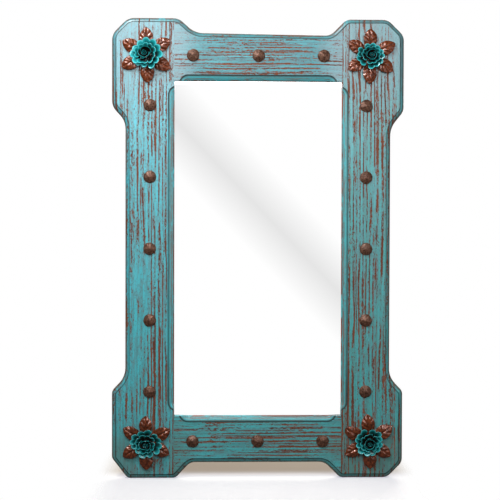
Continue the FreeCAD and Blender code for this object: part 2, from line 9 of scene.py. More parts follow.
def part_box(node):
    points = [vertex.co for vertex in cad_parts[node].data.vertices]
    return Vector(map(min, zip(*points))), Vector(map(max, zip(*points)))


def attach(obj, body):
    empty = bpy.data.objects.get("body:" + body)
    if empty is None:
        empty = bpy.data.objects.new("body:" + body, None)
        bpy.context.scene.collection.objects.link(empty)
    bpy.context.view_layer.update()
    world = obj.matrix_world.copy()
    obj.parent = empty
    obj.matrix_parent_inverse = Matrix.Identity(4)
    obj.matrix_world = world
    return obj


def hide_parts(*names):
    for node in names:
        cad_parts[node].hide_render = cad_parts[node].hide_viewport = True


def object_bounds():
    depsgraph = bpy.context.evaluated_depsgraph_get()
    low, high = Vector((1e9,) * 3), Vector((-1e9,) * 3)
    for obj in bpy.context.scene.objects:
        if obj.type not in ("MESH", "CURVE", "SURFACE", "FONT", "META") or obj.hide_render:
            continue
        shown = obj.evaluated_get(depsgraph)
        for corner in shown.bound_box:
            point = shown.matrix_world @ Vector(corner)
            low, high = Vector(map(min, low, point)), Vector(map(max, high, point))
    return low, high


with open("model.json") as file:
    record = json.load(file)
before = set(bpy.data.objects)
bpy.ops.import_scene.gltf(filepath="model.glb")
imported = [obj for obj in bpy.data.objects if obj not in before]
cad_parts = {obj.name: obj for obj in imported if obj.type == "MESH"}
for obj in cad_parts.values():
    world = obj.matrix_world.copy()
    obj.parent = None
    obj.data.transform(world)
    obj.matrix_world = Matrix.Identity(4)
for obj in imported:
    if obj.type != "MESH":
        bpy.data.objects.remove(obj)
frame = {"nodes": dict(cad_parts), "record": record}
cad_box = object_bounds()
nodes = frame["nodes"]

# Accent wall mirror: painted boards, forged nails, copper leaves and teal sheet-metal roses.
# Metres, X to the right, Z up, the front faces -Y. Sizes of pieces are written in millimetres.
MM = 0.001
BODY = "frame"

# The camera, as the photograph was taken: close to square on, a little left and above.
CAMERA_PLACE = (-0.0723, -2.2, 0.0336)
CAMERA_YAW = 1.477
CAMERA_PITCH = -0.935
CAMERA_ROLL = 0.148
CAMERA_LENS = 79.2
CAMERA_SENSOR = 36.0

# Softboxes: a large one ahead and above, which gives the paint its sheen, a steep key from the
# upper left, a weak fill from the right and one behind.
Softbox = namedtuple("Softbox", "name place aim width height power")
SOFTBOXES = [
    Softbox("front_softbox", (-0.14, -1.55, 0.73), (0.0, 0.0, 0.2), 1.6, 0.4, 12.5),
    Softbox("left_softbox", (-0.55, -0.75, 1.15), (-0.1, 0.0, 0.2), 0.3, 0.3, 13.0),
    Softbox("right_softbox", (0.95, -1.1, 0.2), (0.0, 0.0, 0.0), 0.6, 0.6, 2.0),
    Softbox("back_softbox", (0.5, 1.6, 0.9), (0.0, 0.0, 0.0), 1.0, 1.0, 30.0),
]
KEY_COLOUR = (0.95, 0.98, 1.0)
ROOM_LIGHT = 0.12
ROOM_COLOUR = (1.0, 0.96, 0.9, 1.0)

# What the glass reflects: a white screen with a soft grey fold across it. Slopes from straight
# ahead. Brushed and painted surfaces reflect a dimmer room.
FOLD_TURN = 43.8
FOLD_OFFSET = 0.0395
FOLD_WIDTH = 0.033
FOLD_DEPTH = 0.215
DIM_ROOM = 0.12

# Floor: a strip of white paper under the mirror. Half width, and from front to back. It glows a
# little for the camera, less in the shade behind the mirror.
FLOOR_SIZE = 2.4
PAPER_SIDE = (0.33, 0.26)
PAPER_FRONT = (-0.6, -0.3)
PAPER_BACK = (0.3, 0.16)
PAPER_COLOUR = (0.7, 0.64, 0.55, 1.0)
SHADE_FROM = (-0.005, 0.065)
FRONT_GLOW = (0.39, 0.41, 0.49, 1.0)
SHADE_GLOW = (0.05, 0.02, 0.0, 1.0)

# Boards. Depths in millimetres from the wall at 0 to the face: the foot of the step round the
# face, then where the outer edge, worn, grimy and darkened by painted shade, the worn line and
# the worn lip of the mouldings lie, the flank without sheen and the raw back.
FACE_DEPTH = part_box("left_stile")[0].y / MM
STEP_FOOT = FACE_DEPTH + 1.6
EDGE_FROM = STEP_FOOT + 4.6
LINE_DEPTH = STEP_FOOT + 2.2
LIP_FROM = STEP_FOOT + 4.2
FLANK_FROM = (STEP_FOOT + 2.0, STEP_FOOT + 7.0)
BACK_FROM = (-2.0, -0.6)
# The joints between rails and stiles, and the heights from which they run outwards.
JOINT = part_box("top_rail")[1].x / MM
JOINT_FROM = (330.0, 334.0)
# Rails first: where the inner moulding ends across the board, where along it the paint is less
# worn, and where across it more.
INNER_ZONE = [(360.0, 370.0), (195.0, 205.0)]
CALM_FROM = [(80.0, 150.0), (300.0, 390.0)]
WORN_SIDE = [(440.0, 380.0), (262.0, 205.0)]
# Where a rail's ends and a stile's ears begin, and the heights from which paint is dull or grimy.
RAIL_END = (105.0, 165.0)
EAR_FROM = (220.0, 290.0)
DULL_FROM = (230.0, 370.0)
GRIME_FROM = (-330.0, -400.0)
# Spacing of the rubbed lines, in two sets. Those of the rails are finer.
CLOSE_LINES = 7.0
WIDE_LINES = 11.0
RAIL_SCALE = 0.75
PAINT_RELIEF = 0.35

# Colours of the boards. Paint runs from low on the mirror to high, a change that is partly
# painted light from above. Wood, and the grime and painted shade of the outer edge, run from dark
# to light.
BLUE = ((0.045, 0.58, 0.64, 1.0), (0.05, 0.64, 0.77, 1.0))
TEAL_GREEN = ((0.04, 0.46, 0.45, 1.0), (0.045, 0.43, 0.44, 1.0))
DULL_BLUE = ((0.03, 0.25, 0.28, 1.0), (0.035, 0.33, 0.38, 1.0))
DEEP_GREEN = ((0.05, 0.54, 0.56, 1.0), (0.06, 0.60, 0.63, 1.0))
BARE_WOOD = ((0.19, 0.05, 0.021, 1.0), (0.34, 0.095, 0.04, 1.0))
RAW_WOOD = ((0.16, 0.085, 0.045, 1.0), (0.29, 0.175, 0.1, 1.0))
EDGE_GRIME_AND_SHADE = ((0.10, 0.12, 0.085, 1.0), (0.18, 0.07, 0.028, 1.0))
WOOD_PORES = (0.12, 0.035, 0.02, 1.0)
PALE_STREAK = (0.08, 0.54, 0.61, 1.0)
DARK_STREAK = (0.04, 0.21, 0.23, 1.0)
DULL_PAINT = (0.12, 0.27, 0.33, 1.0)
LOW_GRIME = (0.11, 0.22, 0.17, 1.0)
THIN_PAINT = (0.13, 0.16, 0.17, 1.0)
SCUFF_GREY = (0.15, 0.20, 0.22, 1.0)
DARK_DUST = (0.05, 0.10, 0.11, 1.0)
STEP_SHADE = (0.06, 0.17, 0.16, 1.0)
LIP_PAINT = (0.07, 0.58, 0.64, 1.0)
GUTTER_DIRT_AND_SHADE = (0.03, 0.045, 0.04, 1.0)

# Enamel of the petals, from deep in the rose to the rims: near black deep down, partly a dark
# wash and partly painted shade, and light at the rims, partly rubbed and partly a painted
# highlight.
ENAMEL_DEEP = (0.012, 0.01, 0.008, 1.0)
ENAMEL_DARK = (0.006, 0.13, 0.125, 1.0)
ENAMEL_TEAL = (0.012, 0.39, 0.41, 1.0)
ENAMEL_RIM = (0.1, 0.67, 0.70, 1.0)

# Forged nails. The hammered flats lie in two rings, at an offset from the centre of the head.
NAIL_RADIUS = 12.8
NAIL_HEIGHT = 7.0
NAIL_LENGTH = 15.0
NAIL_SHANK = 4.4
NAIL_POINT = 0.7
NAIL_EDGE = 0.7
NAIL_CREASE = 9.0
Flats = namedtuple("Flats", "count tilt jitter offset")
NAIL_FLATS = [Flats(6, 21.0, 5.0, 5.95), Flats(9, 52.0, 7.0, 10.2)]
STILE_NAILS = 5
RAIL_NAILS = 3
NAILED_BOARDS = [
    ("left_stile", STILE_NAILS, True),
    ("right_stile", STILE_NAILS, True),
    ("top_rail", RAIL_NAILS, False),
    ("bottom_rail", RAIL_NAILS, False),
]

# Leaf sprays. Stalk and tooth are shares of a leaf's width, fullest a share of its length.
LEAF_COUNT = 6
LEAF_TURN = 30.0
LEAF_ROOT = 5.0
LEAF_TIP = 54.5
LEAF_WIDTH = 28.0
LEAF_FULLEST = 0.6
LEAF_TIP_CURVE = 0.78
LEAF_ROOT_CURVE = 0.9
LEAF_STALK = 0.07
LEAF_TOOTH = 0.045
LEAF_RISE = 6.0
LEAF_DROOP = 3.2
LEAF_VEINS = 4.0
LEAF_SWELL = 2.0
LEAF_CREASE = 0.9
LEAF_WAVE = 1.2
LEAF_SHEET = 0.9
SPRAY_HUB = 8.0
POST_RADIUS = 4.6
POST_HEIGHT = 6.0

# Rose petals lie on balls. Reach is the distance of the ball from the rose's axis, start and
# sweep are the slope at the petal's root and the turn from there to its tip, fan is the half
# angle of its sides. Lobes, cup, lip and twist shape the sheet. Tone is how light the enamel is,
# lower in the inner whorls as partly painted shade, and bend is the share of the rose's lean that
# the whorl takes.
PETAL_SHEET = 0.8
Whorl = namedtuple("Whorl", "name petals ball reach level start sweep fan "
                            "lobes fullness cup lip twist turn hub tone bend")
WHORLS = [
    Whorl("outer_petals", 6, 38.0, 7.0, 6.92, 0.0, 40.0, 42.0,
          2, 1.08, 2.2, 0.8, 0.1, 0.0, 9.5, 0.98, 0.8),
    Whorl("middle_petals", 5, 20.0, 4.0, 9.36, 6.0, 58.0, 48.0,
          2, 1.08, 1.8, 0.7, 0.12, 20.0, 5.6, 0.9, 1.0),
    Whorl("inner_petals", 3, 13.4, -2.5, 12.4, 9.0, 84.0, 84.0,
          1, 1.5, 0.0, 0.7, 0.12, 50.0, 4.8, 0.56, 1.2),
]
# A rim is lighter by a step, and by more where the tone is low: partly rubbed wear, partly a
# painted highlight.
RIM_FROM = 0.86
RIM_STEP = 0.2
RIM_OF_DARK = 0.35
HUB_SHEET = 1.04
HUB_LAP = 0.12
BUD_LEVEL = 12.52
BUD_HEIGHT = 12.6
BUD_TURNS = 2.0
BUD_CORE = 1.1
BUD_PITCH = 1.9
BUD_SHEET = 0.7
BUD_FLARE = 1.0
# The bud is darkest, partly as painted shade deep in the rose.
BUD_TONE = 0.45
# Each rose leans its own way, in degrees from X towards Z, and has its own size and tone.
Rose = namedtuple("Rose", "name lean_towards lean turn wide tall tone")
ROSES = [
    Rose("top_left", 160.0, 10.0, 12.0, 1.02, 1.0, 1.1),
    Rose("top_right", 60.0, 2.0, 40.0, 0.88, 0.82, 0.92),
    Rose("bottom_right", 280.0, 6.0, 5.0, 0.92, 0.86, 1.0),
    Rose("bottom_left", 265.0, 9.0, 33.0, 0.99, 0.87, 1.0),
]

# Screws on the back: ten countersunk ones in the panel and two round-headed ones in each hanger.
SCREW_HEAD = 3.4
SCREW_POINT = 0.2
SINK_DEPTH = 2.0
CROWN_HEIGHT = 1.9
CROWN_ROUND = 1.0
RECESS_ARM = 2.0
RECESS_SLOT = 0.8
RECESS_DEPTH = 1.2
Shank = namedtuple("Shank", "radius length")
PANEL_SHANK = Shank(1.6, 11.0)
HANGER_SHANK = Shank(1.7, 14.0)
PANEL_SIDE_STEP = 210.0
PANEL_END_PLACE = 100.0

# All new pieces.
EASED_EDGE = 0.2
SMOOTH_ANGLE = 35.0
ORDER_ALONG = Vector((0.3, 0.5, 0.8))


# Finishes

class Wire:
    """A shader socket that takes part in Python sums."""

    def __init__(self, tree, socket):
        self.tree = tree
        self.socket = socket

    def sum(self, operation, *others):
        values = dict(enumerate((self,) + others))
        return self.tree.node("Math", {"operation": operation}, values)

    def __add__(self, other):
        return self.sum("ADD", other)

    def __sub__(self, other):
        return self.sum("SUBTRACT", other)

    def __rsub__(self, other):
        return self.tree.node("Math", {"operation": "SUBTRACT"}, {0: other, 1: self})

    def __mul__(self, other):
        return self.sum("MULTIPLY", other)

    def __truediv__(self, other):
        return self.sum("DIVIDE", other)

    def __abs__(self):
        return self.sum("ABSOLUTE")

    __radd__ = __add__
    __rmul__ = __mul__

    def fraction(self):
        return self.sum("FRACT")

    def larger(self, other):
        return self.sum("MAXIMUM", other)

    def rise(self, low, high):
        """0 below low, 1 above high, smooth between. A low above high falls instead."""
        settings = {"interpolation_type": "SMOOTHSTEP"}
        if low < high:
            return self.tree.node("MapRange", settings, {0: self, 1: low, 2: high})
        return self.tree.node("MapRange", settings, {0: self, 1: high, 2: low, 3: 1.0, 4: 0.0})

    def blend(self, first, second):
        """The first colour where this is 0, the second where it is 1."""
        values = {"Factor": self, "A": first, "B": second}
        return self.tree.node("Mix", {"data_type": "RGBA"}, values, 2)


class Tree:
    """A shader node tree and the one method that adds nodes to it."""

    def __init__(self, owner):
        owner.use_nodes = True
        self.nodes = owner.node_tree.nodes
        self.links = owner.node_tree.links
        self.nodes.clear()

    def node(self, kind, settings=None, values=None, output=0):
        made = self.nodes.new("ShaderNode" + kind)
        for key, value in (settings or {}).items():
            setattr(made, key, value)
        for key, value in (values or {}).items():
            socket = made.inputs[key]
            if made.bl_idname == "ShaderNodeMix" and key in ("A", "B"):
                socket = made.inputs["AB".index(key) + 6]
            if isinstance(value, Wire):
                self.links.new(value.socket, socket)
            else:
                socket.default_value = value
        if made.outputs:
            return Wire(self, made.outputs[output])

    def parts(self, vector):
        return [self.node("SeparateXYZ", values={0: vector}, output=axis) for axis in range(3)]

    def place(self):
        """The three object coordinates in millimetres."""
        return [part * 1000.0 for part in self.parts(self.node("TexCoord", output="Object"))]

    def noise(self, x, y, z, detail=2.0, roughness=0.5):
        """Noise from 0 to 1 with features about one unit across."""
        spot = self.node("CombineXYZ", values={0: x, 1: y, 2: z})
        values = {"Vector": spot, "Scale": 1.0, "Detail": detail, "Roughness": roughness}
        return self.node("TexNoise", values=values)

    def bump(self, height, distance):
        """A normal from a height of 0 to 1 that stands for a distance in millimetres."""
        values = {"Height": height, "Distance": distance * MM, "Strength": 1.0}
        return self.node("Bump", values=values)

    def surface(self, **sockets):
        values = {key.replace("_", " "): value for key, value in sockets.items()}
        shader = self.node("BsdfPrincipled", values=values)
        self.node("OutputMaterial", values={"Surface": shader})


def finish(name):
    material = bpy.data.materials.new(name)
    return material, Tree(material)


def painted_board(name, upright, seed, wear, sheen, paint_low, paint_high):
    """Turquoise paint on red-brown wood, rubbed through in broken lines along the grain."""
    material, tree = finish(name)
    x, y, z = tree.place()
    along, across = (z, x) if upright else (x, z)

    def grain(wide, long, offset, detail=2.0, roughness=0.5):
        return tree.noise(across / wide, y / 40.0 + seed, along / long + offset, detail, roughness)

    wander = grain(60.0, 420.0, 0.0)
    wiggle = grain(14.0, 45.0, 3.0)
    breaks = grain(1.8, 6.0, 11.0, 3.0, 0.7)
    worn = grain(34.0, 260.0, 13.0, 1.0) * 0.3 - 0.15 + wear
    worn = worn + abs(across).rise(*WORN_SIDE[upright]) * 0.06
    worn = worn - abs(along).rise(*CALM_FROM[upright]) * 0.05

    def rubbed_lines(spacing, start):
        """Where lines are bare to the wood, and where the paint beside them is thin."""
        place = across / spacing + wander * 2.2 + wiggle * 0.35 + start
        ridge = 1.0 - abs(place.fraction() - 0.5) * 2.0 + breaks * 0.6
        strength = grain(spacing * 1.6, 100.0, start * 7.0, 3.0, 0.6) + breaks * 0.5 + worn
        bare_line = ridge.rise(0.98, 1.06) * strength.rise(0.79, 0.84)
        thin_line = ridge.rise(0.7, 1.1) * strength.rise(0.64, 0.84)
        return bare_line, thin_line

    fine = grain(2.6, 90.0, 17.0, 4.0, 0.65)
    streak = grain(5.0, 120.0, 19.0, 2.0)
    cloud = grain(44.0, 190.0, 23.0, 3.0, 0.55)
    zone = grain(26.0, 80.0, 27.0, 2.0)
    speck = grain(1.7, 5.0, 31.0, 2.0, 0.6)
    dust = grain(1.8, 3.0, 37.0, 2.0, 0.6)
    scuff = grain(3.2, 26.0, 43.0, 4.0, 0.7)

    scale = 1.0 if upright else RAIL_SCALE
    close_lines, close_thin = rubbed_lines(CLOSE_LINES * scale, 0.3)
    wide_lines, wide_thin = rubbed_lines(WIDE_LINES * scale, 1.9)
    thin = close_thin.larger(wide_thin)
    stipple = (speck + zone * 0.5 + fine * 0.3 + thin * 0.12).rise(1.08, 1.14)

    inside = abs(across).rise(INNER_ZONE[upright][1], INNER_ZONE[upright][0])
    step = y.rise(FACE_DEPTH + 0.5, STEP_FOOT - 0.4)
    back = y.rise(*BACK_FROM)
    ends = 1.0 if upright else abs(along).rise(*RAIL_END)
    high = z.rise(*DULL_FROM)
    low = z.rise(*GRIME_FROM)
    bare = close_lines.larger(wide_lines).larger(stipple)
    bare = bare * (1.0 - step * inside * 0.6) * (1.0 - back)
    flank = y.rise(*FLANK_FROM)
    gutter = step * y.rise(STEP_FOOT + 0.6, STEP_FOOT + 0.1)
    ragged = grain(7.0, 55.0, 41.0, 4.0, 0.6)
    outer_edge = (1.0 - inside) * (y + ragged * 5.0).rise(EDGE_FROM, EDGE_FROM + 1.0)
    inner_edge = inside * (y + ragged * 2.4).rise(LIP_FROM, LIP_FROM + 0.5)
    inner_line = inside * abs(y + ragged * 0.8 - LINE_DEPTH).rise(0.4, 0.15)
    worn_edge = inner_edge.larger(inner_line) * ragged.rise(0.42, 0.5)
    joint = abs(abs(x) - JOINT).rise(1.0, 0.3) * abs(z).rise(*JOINT_FROM)

    wood = cloud.blend(*BARE_WOOD)
    wood = fine.rise(0.35, 0.62).blend(WOOD_PORES, wood)
    # Lighter higher up on most boards: partly the paint itself, partly painted light from above.
    paint = (cloud * 0.5 + z / 1400.0).rise(0.0, 0.5).blend(paint_low, paint_high)
    paint = (streak.rise(0.42, 0.62) * 0.5).blend(paint, PALE_STREAK)
    paint = (fine.rise(0.5, 0.62) * 0.5).blend(paint, DARK_STREAK)
    paint = (high * (0.15 + ends * 0.5)).blend(paint, DULL_PAINT)
    paint = (low * ends * cloud.rise(0.3, 0.55) * 0.6).blend(paint, LOW_GRIME)
    paint = (thin * 0.55).blend(paint, THIN_PAINT)
    paint = (scuff.rise(0.48, 0.62) * 0.5).blend(paint, SCUFF_GREY)
    paint = (dust.rise(0.58, 0.66) * 0.55).blend(paint, DARK_DUST)
    paint = (step * (0.05 + high * 0.2)).blend(paint, STEP_SHADE)
    paint = (step * inside * 0.4).blend(paint, LIP_PAINT)
    colour = bare.larger(worn_edge).blend(paint, wood)
    # The outer edge: worn brown and grimy grey-green, and darker partly as painted shade where it
    # turns from the light.
    edge_grime_and_shade = (ragged + streak * 0.4).rise(0.5, 0.8).blend(*EDGE_GRIME_AND_SHADE)
    colour = (outer_edge * 0.75).blend(colour, edge_grime_and_shade)
    # A dark line in the groove at the foot of the step, darkest at the ears: partly dirt, partly
    # painted shade.
    dark = gutter * (0.5 + inside * 0.15 + abs(z).rise(*EAR_FROM) * 0.25)
    colour = dark.larger(joint * 0.2).blend(colour, GUTTER_DIRT_AND_SHADE)
    raw = fine.rise(0.35, 0.65).blend(*RAW_WOOD)
    colour = back.blend(colour, raw)

    relief = (1.0 - bare * 0.6) * (0.7 + fine * 0.3)
    gloss = 0.46 + bare * 0.16 + back * 0.3 + fine * 0.08
    matt = back.larger(bare).larger(flank).larger(gutter).larger(step * inside * 0.5)
    tree.surface(Base_Color=colour, Roughness=gloss, Specular_IOR_Level=0.4,
                 Coat_Weight=(1.0 - matt) * (sheen + (1.0 - sheen) * ends),
                 Coat_Roughness=0.38, Coat_IOR=1.9,
                 Normal=tree.bump(relief, PAINT_RELIEF))
    return material


def mirror_sheet():
    material, tree = finish("mirror_sheet")
    tree.surface(Base_Color=(1.0, 1.0, 1.0, 1.0), Metallic=1.0, Roughness=0.0)
    return material


def mottled(name, dark, light, grain_size, relief, **sockets):
    """Two colours in a cloud of the given grain, with a slight relief."""
    material, tree = finish(name)
    x, y, z = tree.place()
    mottle = tree.noise(x / grain_size, y / grain_size, z / grain_size, 4.0, 0.6)
    colour = mottle.rise(0.3, 0.7).blend(dark + (1.0,), light + (1.0,))
    tree.surface(Base_Color=colour, Normal=tree.bump(mottle, relief), **sockets)
    return material


def teal_enamel():
    """Teal enamel: near black deep in the rose, partly a dark wash and partly painted shade, and
    light along the rims, partly rubbed and partly a painted highlight.
    """
    material, tree = finish("teal_petal")
    x, y, z = tree.place()
    reach = tree.node("Attribute", {"attribute_name": "reach"}, output="Fac")
    mottle = tree.noise(x / 5.0, y / 5.0, z / 5.0, 4.0, 0.6)
    place = reach + (mottle - 0.5) * 0.22
    colour = place.rise(0.42, 0.74).blend(ENAMEL_DEEP, ENAMEL_DARK)
    colour = place.rise(0.66, 0.92).blend(colour, ENAMEL_TEAL)
    colour = place.rise(0.95, 1.1).blend(colour, ENAMEL_RIM)
    tree.surface(Base_Color=colour, Roughness=0.26, Coat_Weight=0.5, Coat_Roughness=0.12,
                 Normal=tree.bump(mottle, 0.25))
    return material


LEFT_PAINT = painted_board("left_stile_paint", True, 0.0, 0.0, 1.0, *BLUE)
RIGHT_PAINT = painted_board("right_stile_paint", True, 4.0, -0.005, 1.0, *TEAL_GREEN)
TOP_PAINT = painted_board("top_rail_paint", False, 7.0, -0.04, 0.3, *DULL_BLUE)
BOTTOM_PAINT = painted_board("bottom_rail_paint", False, 12.0, 0.0, 1.0, *DEEP_GREEN)
MIRROR = mirror_sheet()
HARDBOARD = mottled("hardboard", (0.16, 0.075, 0.035), (0.27, 0.14, 0.07), 1.6, 0.12, Roughness=0.7)
DOWEL_WOOD = mottled("dowel_wood", (0.42, 0.27, 0.14), (0.6, 0.42, 0.25), 2.0, 0.1, Roughness=0.6)
IRON = mottled("forged_iron", (0.062, 0.026, 0.016), (0.25, 0.115, 0.07), 3.2, 0.9,
               Metallic=0.4, Roughness=0.34)
COPPER = mottled("copper_leaf", (0.08, 0.018, 0.007), (0.29, 0.064, 0.018), 4.0, 0.25,
                 Metallic=0.2, Roughness=0.22, Coat_Weight=0.4, Coat_Roughness=0.1)
TEAL = teal_enamel()
STEEL = mottled("plain_steel", (0.42, 0.41, 0.38), (0.6, 0.59, 0.56), 1.2, 0.06,
                Metallic=1.0, Roughness=0.34)

FINISH_OF_NODE = {
    "left_stile": LEFT_PAINT,
    "right_stile": RIGHT_PAINT,
    "top_rail": TOP_PAINT,
    "bottom_rail": BOTTOM_PAINT,
}
FINISH_OF_NODE.update({rose.name + "_rose_pin": IRON for rose in ROSES})
FINISH_OF_SLOT = {
    "mirror_sheet": MIRROR,
    "hardboard": HARDBOARD,
    "dowel_wood": DOWEL_WOOD,
    "forged_iron": IRON,
    "copper_leaf": COPPER,
    "teal_petal": TEAL,
    "plain_steel": STEEL,
}


def dress_cad_nodes():
    """Gives every node its finish."""
    for part in frame["record"]["subparts"]:
        material = FINISH_OF_NODE.get(part["node"]) or FINISH_OF_SLOT[part["material_slot"]]
        for holder in nodes[part["node"]].material_slots:
            holder.material = material


# Modelling

def apply_modifier(piece, kind, **settings):
    step = piece.modifiers.new(kind.title(), kind)
    for key, value in settings.items():
        setattr(step, key, value)
    bpy.context.view_layer.objects.active = piece
    bpy.ops.object.modifier_apply(modifier=step.name)


def primitive(operator, **sizes):
    """A new mesh made by one of Blender's own shapes, with nothing else selected."""
    bpy.ops.object.select_all(action="DESELECT")
    operator(**sizes)
    return bpy.context.object


def smooth_step(low, high, value):
    share = min(1.0, max(0.0, (value - low) / (high - low)))
    return share * share * (3 - 2 * share)


def metal_sheet(columns, rows, thickness, tone, shape):
    """A grid bent by a rule, in millimetres, then given its thickness. The rule takes a place
    across from -1 to 1 and along from 0 to 1. The latter is kept for the finish, times a tone
    and with a step up at the rim, more so where the tone is low."""
    piece = primitive(bpy.ops.mesh.primitive_grid_add, x_subdivisions=columns,
                      y_subdivisions=rows, size=2.0)
    reach = piece.data.attributes.new("reach", "FLOAT", "POINT")
    rim = RIM_STEP + RIM_OF_DARK * max(0.0, 1.0 - tone)
    for vertex in piece.data.vertices:
        across = vertex.co.x
        along = (vertex.co.y + 1) / 2
        vertex.co = Vector(shape(across, along)) * MM
        reach.data[vertex.index].value = along * tone + rim * smooth_step(RIM_FROM, 1.0, along)
    apply_modifier(piece, "SOLIDIFY", thickness=thickness * MM, offset=0.0)
    apply_modifier(piece, "SUBSURF", levels=1)
    return piece


def disc(radius, height, base):
    """A round plate or post with eased edges, in millimetres."""
    piece = primitive(bpy.ops.mesh.primitive_cylinder_add, vertices=48, radius=radius * MM,
                      depth=height * MM, location=(0.0, 0.0, (base + height / 2) * MM))
    bpy.ops.object.transform_apply(location=True)
    apply_modifier(piece, "BEVEL", width=EASED_EDGE * MM, segments=2)
    return piece


def move(piece, matrix):
    piece.data.transform(matrix)
    piece.data.update()
    return piece


def copy_of(piece, matrix):
    """A copy with its own mesh, moved by a matrix."""
    copy = bpy.data.objects.new(piece.name, piece.data.copy())
    bpy.context.scene.collection.objects.link(copy)
    return move(copy, matrix)


def joined(pieces):
    bpy.ops.object.select_all(action="DESELECT")
    for piece in pieces:
        piece.select_set(True)
    bpy.context.view_layer.objects.active = pieces[0]
    if len(pieces) > 1:
        bpy.ops.object.join()
    return pieces[0]


def discard(piece):
    bpy.data.objects.remove(piece, do_unlink=True)


def dressed(piece, node, material):
    """Names a finished piece, gives it its finish and puts it in the place of a CAD node."""
    piece.name = node + "_form"
    piece.data.materials.clear()
    piece.data.materials.append(material)
    bpy.ops.object.select_all(action="DESELECT")
    piece.select_set(True)
    bpy.context.view_layer.objects.active = piece
    bpy.ops.object.shade_smooth_by_angle(angle=math.radians(SMOOTH_ANGLE))
    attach(piece, BODY)
    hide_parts(node)


def turn_about(axis, degrees):
    return Matrix.Rotation(math.radians(degrees), 4, axis)


def on_face(x, z):
    """Stands a piece that was built up from Z = 0 on the face of the boards."""
    return Matrix.Translation((x, FACE_DEPTH * MM, z)) @ turn_about("X", 90.0)


def bisect(piece, point, normal):
    """Cuts off what lies beyond a plane and closes the cut."""
    bpy.context.view_layer.objects.active = piece
    bpy.ops.object.mode_set(mode="EDIT")
    bpy.ops.mesh.select_all(action="SELECT")
    bpy.ops.mesh.bisect(plane_co=point, plane_no=normal, use_fill=True, clear_outer=True)
    bpy.ops.object.mode_set(mode="OBJECT")


def in_fixed_order(piece):
    """Numbers points and faces by their place. Blender may close a cut from any of its corners,
    and this makes every run the same."""
    mesh = piece.data
    ordered = sorted(mesh.vertices, key=lambda vertex: vertex.co.dot(ORDER_ALONG))
    number = {vertex.index: place for place, vertex in enumerate(ordered)}
    points = [vertex.co.copy() for vertex in ordered]
    faces = []
    for face in mesh.polygons:
        corners = [number[index] for index in face.vertices]
        first = corners.index(min(corners))
        faces.append(corners[first:] + corners[:first])
    mesh.clear_geometry()
    mesh.from_pydata(points, [], sorted(faces))


def forged_nail():
    """A hammered dome on a square, pointed shank."""
    chance = random.Random(3)
    head = primitive(bpy.ops.mesh.primitive_uv_sphere_add, segments=48, ring_count=24, radius=1.0)
    head.scale = (NAIL_RADIUS * MM, NAIL_RADIUS * MM, NAIL_HEIGHT * MM)
    bpy.ops.object.transform_apply(scale=True)
    bisect(head, (0.0, 0.0, 0.0), (0.0, 0.0, -1.0))
    for flats in NAIL_FLATS:
        for index in range(flats.count):
            around = 360.0 / flats.count * (index + chance.uniform(-0.25, 0.25))
            tilt = flats.tilt + chance.uniform(-flats.jitter, flats.jitter)
            turn = turn_about("Z", around) @ turn_about("Y", tilt)
            normal = turn @ Vector((0.0, 0.0, 1.0))
            bisect(head, normal * flats.offset * MM, normal)
    in_fixed_order(head)
    apply_modifier(head, "BEVEL", width=NAIL_EDGE * MM, segments=2, limit_method="ANGLE",
                   angle_limit=math.radians(NAIL_CREASE))
    shank = primitive(bpy.ops.mesh.primitive_cone_add, vertices=4, radius1=NAIL_POINT * MM,
                      radius2=NAIL_SHANK / math.sqrt(2) * MM, depth=NAIL_LENGTH * MM,
                      location=(0.0, 0.0, -NAIL_LENGTH / 2 * MM))
    bpy.ops.object.transform_apply(location=True)
    return joined([head, shank])


def nail_places(node, count, upright):
    """Centres on the face, evenly spread over the node's box."""
    low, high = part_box(node)
    if upright:
        first, last = low.z + NAIL_RADIUS * MM, high.z - NAIL_RADIUS * MM
        return [((low.x + high.x) / 2, first + (last - first) * index / (count - 1))
                for index in range(count)]
    first, last = low.x + NAIL_RADIUS * MM, high.x - NAIL_RADIUS * MM
    return [(first + (last - first) * index / (count - 1), (low.z + high.z) / 2)
            for index in range(count)]


def make_nails():
    pattern = forged_nail()
    chance = random.Random(11)
    for board, count, upright in NAILED_BOARDS:
        node = board + "_nails"
        nails = [copy_of(pattern, on_face(x, z) @ turn_about("Z", chance.uniform(0.0, 360.0)))
                 for x, z in nail_places(node, count, upright)]
        dressed(joined(nails), node, IRON)
    discard(pattern)


def screw(head, seat, shank):
    """Cuts a cross into a head and adds a pointed shank below the seat."""
    top = max(corner[2] for corner in head.bound_box)
    for turn in (0.0, 90.0):
        slot = primitive(bpy.ops.mesh.primitive_cube_add, size=1.0)
        slot.scale = (RECESS_ARM * 2 * MM, RECESS_SLOT * MM, RECESS_DEPTH * 2 * MM)
        bpy.ops.object.transform_apply(scale=True)
        move(slot, Matrix.Translation((0.0, 0.0, top)) @ turn_about("Z", turn))
        apply_modifier(head, "BOOLEAN", object=slot, operation="DIFFERENCE")
        discard(slot)
    point = shank.radius * 2
    straight = shank.length - point
    rod = primitive(bpy.ops.mesh.primitive_cylinder_add, vertices=24, radius=shank.radius * MM,
                    depth=straight * MM, location=(0.0, 0.0, (seat - straight / 2) * MM))
    bpy.ops.object.transform_apply(location=True)
    tip = primitive(bpy.ops.mesh.primitive_cone_add, vertices=24, radius1=SCREW_POINT * MM,
                    radius2=shank.radius * MM, depth=point * MM,
                    location=(0.0, 0.0, (seat - straight - point / 2) * MM))
    bpy.ops.object.transform_apply(location=True)
    return joined([head, rod, tip])


